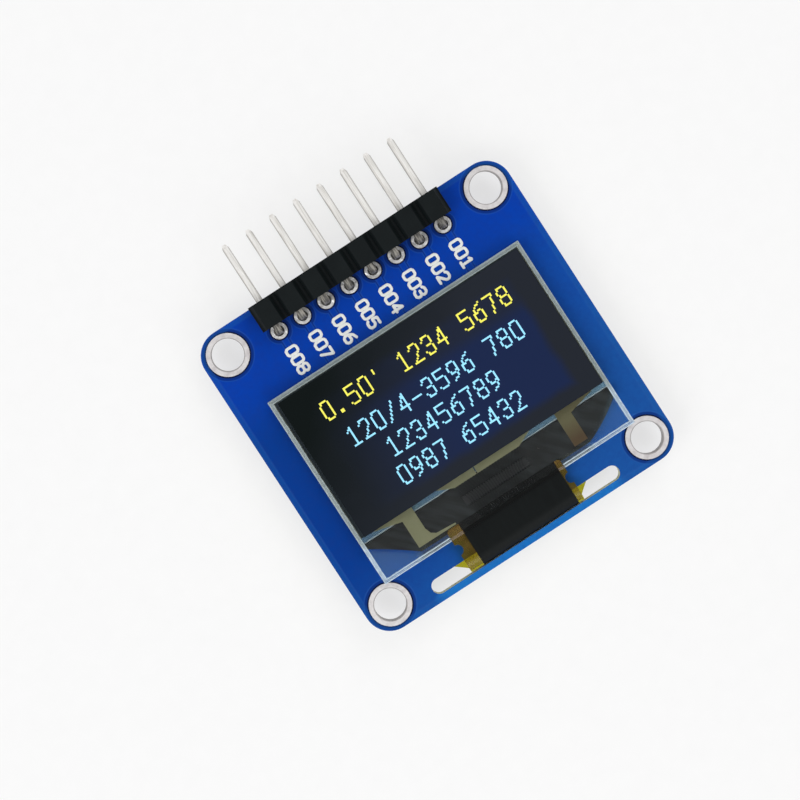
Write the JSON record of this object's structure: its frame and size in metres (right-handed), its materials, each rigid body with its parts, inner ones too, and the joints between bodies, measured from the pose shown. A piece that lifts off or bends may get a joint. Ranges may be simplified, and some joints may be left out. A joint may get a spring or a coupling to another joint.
{
  "type": "small oled module",
  "caption": "Square blue circuit board with a small two-colour OLED panel, a right-angle pin header and a flex cable folded through a slot.",
  "frame": {"origin": "centre of the four mounting holes, on the board's back face", "axes": "+X to the right along the header, +Y towards the header, +Z out of the screen"},
  "size_m": [0.033, 0.0382, 0.0055],
  "materials": {
    "solder_mask": "blue solder mask over glass-fibre laminate",
    "tinned_copper": "hot-tinned copper plating",
    "pin_metal": "tin-plated square wire",
    "header_plastic": "moulded black plastic",
    "solder": "bright solder",
    "foam": "white double-sided foam tape",
    "clear_glass": "clear float glass",
    "drying_paper": "white drying sheet",
    "resin_seal": "cured resin",
    "light_layers": "thin organic layers on metal",
    "polariser_film": "dark circular polariser",
    "ledge_metal": "thin metal film seen through glass",
    "silicon": "bare silicon die",
    "black_pad": "black light-blocking pad",
    "polyimide": "amber polyimide film over copper",
    "black_film": "black cover film",
    "capacitor_ceramic": "fired ceramic with tinned ends",
    "resistor_ceramic": "glazed chip with tinned ends"
  },
  "bodies": {
    "root": {"pcb": "solder_mask", "header_lands": "tinned_copper", "header_body": "header_plastic", "foam_tape": "foam", "cap_glass": "clear_glass", "drying_sheet": "drying_paper", "edge_seal": "resin_seal", "pixel_layer": "light_layers", "front_glass": "clear_glass", "polariser": "polariser_film", "ledge_film": "ledge_metal", "driver_chip": "silicon", "ledge_pad": "black_pad", "flex_cable": "polyimide", "flex_cover": "black_film", "flex_joints": "solder", "chip_joints": "solder", "mounting_ring_1": "tinned_copper", "mounting_ring_2": "tinned_copper", "mounting_ring_3": "tinned_copper", "mounting_ring_4": "tinned_copper", "header_pin_1": "pin_metal", "header_pin_2": "pin_metal", "header_pin_3": "pin_metal", "header_pin_4": "pin_metal", "header_pin_5": "pin_metal", "header_pin_6": "pin_metal", "header_pin_7": "pin_metal", "header_pin_8": "pin_metal", "header_solder_1": "solder", "header_solder_2": "solder", "header_solder_3": "solder", "header_solder_4": "solder", "header_solder_5": "solder", "header_solder_6": "solder", "header_solder_7": "solder", "header_solder_8": "solder", "capacitor_1": "capacitor_ceramic", "capacitor_2": "capacitor_ceramic", "capacitor_3": "capacitor_ceramic", "capacitor_4": "capacitor_ceramic", "capacitor_5": "capacitor_ceramic", "capacitor_6": "capacitor_ceramic", "capacitor_7": "capacitor_ceramic", "resistor_1": "resistor_ceramic", "resistor_2": "resistor_ceramic", "resistor_3": "resistor_ceramic", "resistor_4": "resistor_ceramic", "resistor_5": "resistor_ceramic", "resistor_6": "resistor_ceramic"}
  },
  "joints": []
}
